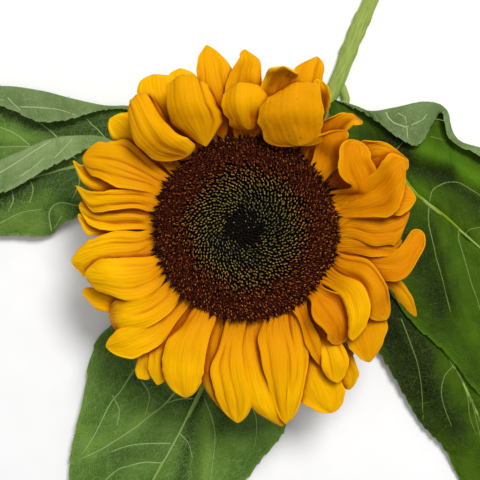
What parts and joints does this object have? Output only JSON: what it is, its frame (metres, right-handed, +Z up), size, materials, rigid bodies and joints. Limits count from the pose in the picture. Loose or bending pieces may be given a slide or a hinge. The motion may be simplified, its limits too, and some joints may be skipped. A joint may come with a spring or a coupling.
{
  "type": "cut sunflower",
  "caption": "Cut sunflower lying face up: a broad dark disc ringed by ray petals, green bracts, a bent stem and large heart-shaped leaves.",
  "frame": {"origin": "middle of the box round the flower, at the level of the table it lies on", "axes": "+Z up out of the flower's face; +Y along the long side, with the stem's cut end towards +X and +Y"},
  "size_m": [0.2912, 0.3852, 0.078],
  "materials": {
    "disc_florets": "matt, velvety packed florets",
    "ray_petal": "soft satin, finely grooved lengthwise",
    "green_bracts": "matt, downy",
    "green_stem": "matt, ridged and bristly",
    "leaf_blade": "rough satin with sunken veins"
  },
  "bodies": {
    "root": {"disc": "disc_florets", "receptacle": "green_bracts", "neck": "green_stem", "stem": "green_stem", "leaf_right": "leaf_blade", "leaf_right_low": "leaf_blade", "leaf_bottom": "leaf_blade", "leaf_left": "leaf_blade", "leaf_left_high": "leaf_blade", "petal_01": "ray_petal", "petal_02": "ray_petal", "petal_03": "ray_petal", "petal_04": "ray_petal", "petal_05": "ray_petal", "petal_06": "ray_petal", "petal_07": "ray_petal", "petal_08": "ray_petal", "petal_09": "ray_petal", "petal_10": "ray_petal", "petal_11": "ray_petal", "petal_12": "ray_petal", "petal_13": "ray_petal", "petal_14": "ray_petal", "petal_15": "ray_petal", "petal_16": "ray_petal", "petal_17": "ray_petal", "petal_18": "ray_petal", "petal_19": "ray_petal", "petal_20": "ray_petal", "petal_21": "ray_petal", "petal_22": "ray_petal", "petal_23": "ray_petal", "petal_24": "ray_petal", "petal_25": "ray_petal", "petal_26": "ray_petal", "petal_27": "ray_petal", "petal_28": "ray_petal", "petal_29": "ray_petal", "petal_30": "ray_petal", "petal_31": "ray_petal", "petal_32": "ray_petal", "petal_33": "ray_petal", "petal_34": "ray_petal", "petal_35": "ray_petal", "petal_36": "ray_petal", "petal_37": "ray_petal", "petal_38": "ray_petal", "petal_39": "ray_petal", "petal_40": "ray_petal", "petal_41": "ray_petal", "petal_42": "ray_petal", "petal_43": "ray_petal", "petal_44": "ray_petal", "petal_45": "ray_petal", "petal_46": "ray_petal", "petal_47": "ray_petal", "petal_48": "ray_petal", "petal_49": "ray_petal"}
  },
  "joints": []
}
